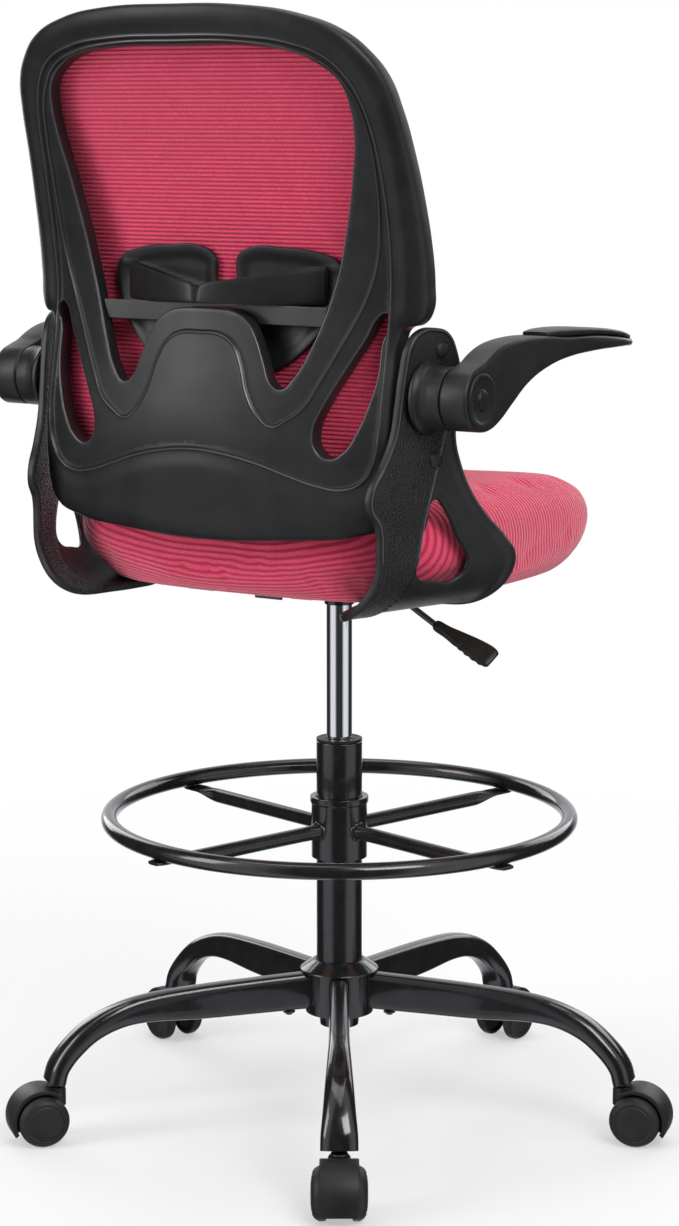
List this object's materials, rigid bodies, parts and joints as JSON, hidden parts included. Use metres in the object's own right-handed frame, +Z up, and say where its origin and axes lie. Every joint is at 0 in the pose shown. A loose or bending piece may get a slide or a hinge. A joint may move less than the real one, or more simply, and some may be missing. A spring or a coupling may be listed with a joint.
{
  "type": "drafting chair",
  "caption": "Tall swivel chair on a five-star caster base with a foot ring, gas lift, padded knit seat, curved mesh back with a lumbar support, and flip-up arms.",
  "frame": {"origin": "the middle of the chair's footprint, on the floor; the lift column's axis is 7 mm to +X and 23 mm to +Y of it", "axes": "+Z up, the sitter faces -Y, and +X is the sitter's left"},
  "size_m": [0.7188, 0.6991, 1.1971],
  "materials": {
    "black_plastic": "satin moulded black",
    "caster_plastic": "smooth black nylon",
    "wheel_plastic": "satin black nylon",
    "painted_steel": "gloss black enamel",
    "chrome": "polished",
    "zinc_steel": "dark zinc plated",
    "plywood": "raw plywood",
    "red_knit": "ribbed knit over foam",
    "red_mesh": "ribbed elastic mesh"
  },
  "bodies": {
    "base": {"base_hub": "painted_steel", "base_leg_1": "painted_steel", "base_leg_2": "painted_steel", "base_leg_3": "painted_steel", "base_leg_4": "painted_steel", "base_leg_5": "painted_steel", "leg_bolt_1": "zinc_steel", "leg_bolt_2": "zinc_steel", "leg_bolt_3": "zinc_steel", "leg_bolt_4": "zinc_steel", "leg_bolt_5": "zinc_steel", "column_tube": "painted_steel", "column_bushing": "black_plastic"},
    "foot_ring": {"foot_ring": "painted_steel", "foot_ring_spider": "painted_steel"},
    "lift": {"gas_piston": "chrome"},
    "mechanism": {"tilt_housing": "painted_steel", "tilt_pin": "zinc_steel"},
    "tension_knob": {"tension_knob": "black_plastic"},
    "lever": {"lever_rod": "painted_steel", "lever_paddle": "black_plastic"},
    "seat": {"seat_plate": "painted_steel", "seat_board": "plywood", "seat_cushion": "red_knit", "arm_bracket_left": "black_plastic", "arm_bracket_right": "black_plastic", "bracket_screw_left_1": "zinc_steel", "bracket_screw_left_2": "zinc_steel", "bracket_screw_right_1": "zinc_steel", "bracket_screw_right_2": "zinc_steel", "back_frame": "black_plastic", "back_mesh": "red_mesh", "lumbar_rail": "black_plastic"},
    "lumbar": {"lumbar_support": "black_plastic"},
    "arm_left": {"arm_left": "black_plastic", "arm_pad_left": "black_plastic", "arm_cap_left": "black_plastic"},
    "arm_right": {"arm_right": "black_plastic", "arm_pad_right": "black_plastic", "arm_cap_right": "black_plastic"},
    "caster_1": {"caster_hood_1": "caster_plastic", "caster_stem_1": "zinc_steel"},
    "wheel_1a": {"caster_wheel_1a": "wheel_plastic"},
    "wheel_1b": {"caster_wheel_1b": "wheel_plastic"},
    "caster_2": {"caster_hood_2": "caster_plastic", "caster_stem_2": "zinc_steel"},
    "wheel_2a": {"caster_wheel_2a": "wheel_plastic"},
    "wheel_2b": {"caster_wheel_2b": "wheel_plastic"},
    "caster_3": {"caster_hood_3": "caster_plastic", "caster_stem_3": "zinc_steel"},
    "wheel_3a": {"caster_wheel_3a": "wheel_plastic"},
    "wheel_3b": {"caster_wheel_3b": "wheel_plastic"},
    "caster_4": {"caster_hood_4": "caster_plastic", "caster_stem_4": "zinc_steel"},
    "wheel_4a": {"caster_wheel_4a": "wheel_plastic"},
    "wheel_4b": {"caster_wheel_4b": "wheel_plastic"},
    "caster_5": {"caster_hood_5": "caster_plastic", "caster_stem_5": "zinc_steel"},
    "wheel_5a": {"caster_wheel_5a": "wheel_plastic"},
    "wheel_5b": {"caster_wheel_5b": "wheel_plastic"}
  },
  "joints": [
    {"name": "caster_swivel_1", "type": "hinge", "parent": "base", "child": "caster_1", "pos_m": [-0.16363, 0.29607, 0.06], "axis": [0, 0, 1], "continuous": true},
    {"name": "wheel_spin_1a", "type": "hinge", "parent": "caster_1", "child": "wheel_1a", "pos_m": [-0.17211, 0.30964, 0.0275], "axis": [-0.848, -0.5299, 0], "continuous": true},
    {"name": "wheel_spin_1b", "type": "hinge", "parent": "caster_1", "child": "wheel_1b", "pos_m": [-0.17211, 0.30964, 0.0275], "axis": [-0.848, -0.5299, 0], "continuous": true},
    {"name": "caster_swivel_2", "type": "hinge", "parent": "base", "child": "caster_2", "pos_m": [-0.30544, -0.0549, 0.06], "axis": [0, 0, 1], "continuous": true},
    {"name": "wheel_spin_2a", "type": "hinge", "parent": "caster_2", "child": "wheel_2a", "pos_m": [-0.32096, -0.05877, 0.0275], "axis": [0.2419, -0.9703, 0], "continuous": true},
    {"name": "wheel_spin_2b", "type": "hinge", "parent": "caster_2", "child": "wheel_2b", "pos_m": [-0.32096, -0.05877, 0.0275], "axis": [0.2419, -0.9703, 0], "continuous": true},
    {"name": "caster_swivel_3", "type": "hinge", "parent": "base", "child": "caster_3", "pos_m": [-0.01546, -0.29822, 0.06], "axis": [0, 0, 1], "continuous": true},
    {"name": "wheel_spin_3a", "type": "hinge", "parent": "caster_3", "child": "wheel_3a", "pos_m": [-0.01658, -0.31418, 0.0275], "axis": [0.9976, -0.0698, 0], "continuous": true},
    {"name": "wheel_spin_3b", "type": "hinge", "parent": "caster_3", "child": "wheel_3b", "pos_m": [-0.01658, -0.31418, 0.0275], "axis": [0.9976, -0.0698, 0], "continuous": true},
    {"name": "caster_swivel_4", "type": "hinge", "parent": "base", "child": "caster_4", "pos_m": [0.30555, -0.09762, 0.06], "axis": [0, 0, 1], "continuous": true},
    {"name": "wheel_spin_4a", "type": "hinge", "parent": "caster_4", "child": "wheel_4a", "pos_m": [0.32039, -0.10362, 0.0275], "axis": [0.3746, 0.9272, 0], "continuous": true},
    {"name": "wheel_spin_4b", "type": "hinge", "parent": "caster_4", "child": "wheel_4b", "pos_m": [0.32039, -0.10362, 0.0275], "axis": [0.3746, 0.9272, 0], "continuous": true},
    {"name": "caster_swivel_5", "type": "hinge", "parent": "base", "child": "caster_5", "pos_m": [0.21398, 0.26967, 0.06], "axis": [0, 0, 1], "continuous": true},
    {"name": "wheel_spin_5a", "type": "hinge", "parent": "caster_5", "child": "wheel_5a", "pos_m": [0.22426, 0.28192, 0.0275], "axis": [-0.766, 0.6428, 0], "continuous": true},
    {"name": "wheel_spin_5b", "type": "hinge", "parent": "caster_5", "child": "wheel_5b", "pos_m": [0.22426, 0.28192, 0.0275], "axis": [-0.766, 0.6428, 0], "continuous": true},
    {"name": "foot_ring_slide", "type": "slide", "parent": "base", "child": "foot_ring", "axis": [0, 0, 1], "range_m": [-0.11, 0.055]},
    {"name": "gas_lift", "type": "slide", "parent": "base", "child": "lift", "axis": [0, 0, 1], "range_m": [-0.12, 0.08]},
    {"name": "seat_swivel", "type": "hinge", "parent": "lift", "child": "mechanism", "pos_m": [0.007, 0.023, 0.58], "axis": [0, 0, 1], "continuous": true},
    {"name": "tension_turn", "type": "hinge", "parent": "mechanism", "child": "tension_knob", "pos_m": [0.007, -0.083, 0.57], "axis": [0, 0, 1], "range_deg": [-360, 360]},
    {"name": "lever_lift", "type": "hinge", "parent": "mechanism", "child": "lever", "pos_m": [-0.015, 0.003, 0.5865], "axis": [0, 1, 0], "range_deg": [0, 6], "stiffness_Nm_per_rad": 2, "springref_deg": -8.59},
    {"name": "seat_tilt", "type": "hinge", "parent": "mechanism", "child": "seat", "pos_m": [0.007, -0.037, 0.59], "axis": [-1, 0, 0], "range_deg": [0, 10], "stiffness_Nm_per_rad": 80, "springref_deg": -20.05},
    {"name": "lumbar_slide", "type": "slide", "parent": "seat", "child": "lumbar", "axis": [0, 0.158, 0.9874], "range_m": [0, 0.025]},
    {"name": "arm_flip_left", "type": "hinge", "parent": "seat", "child": "arm_left", "pos_m": [0.278, 0.223, 0.82], "axis": [-1, 0, 0], "range_deg": [0, 90]},
    {"name": "arm_flip_right", "type": "hinge", "parent": "seat", "child": "arm_right", "pos_m": [-0.264, 0.223, 0.82], "axis": [-1, 0, 0], "range_deg": [0, 90]}
  ]
}
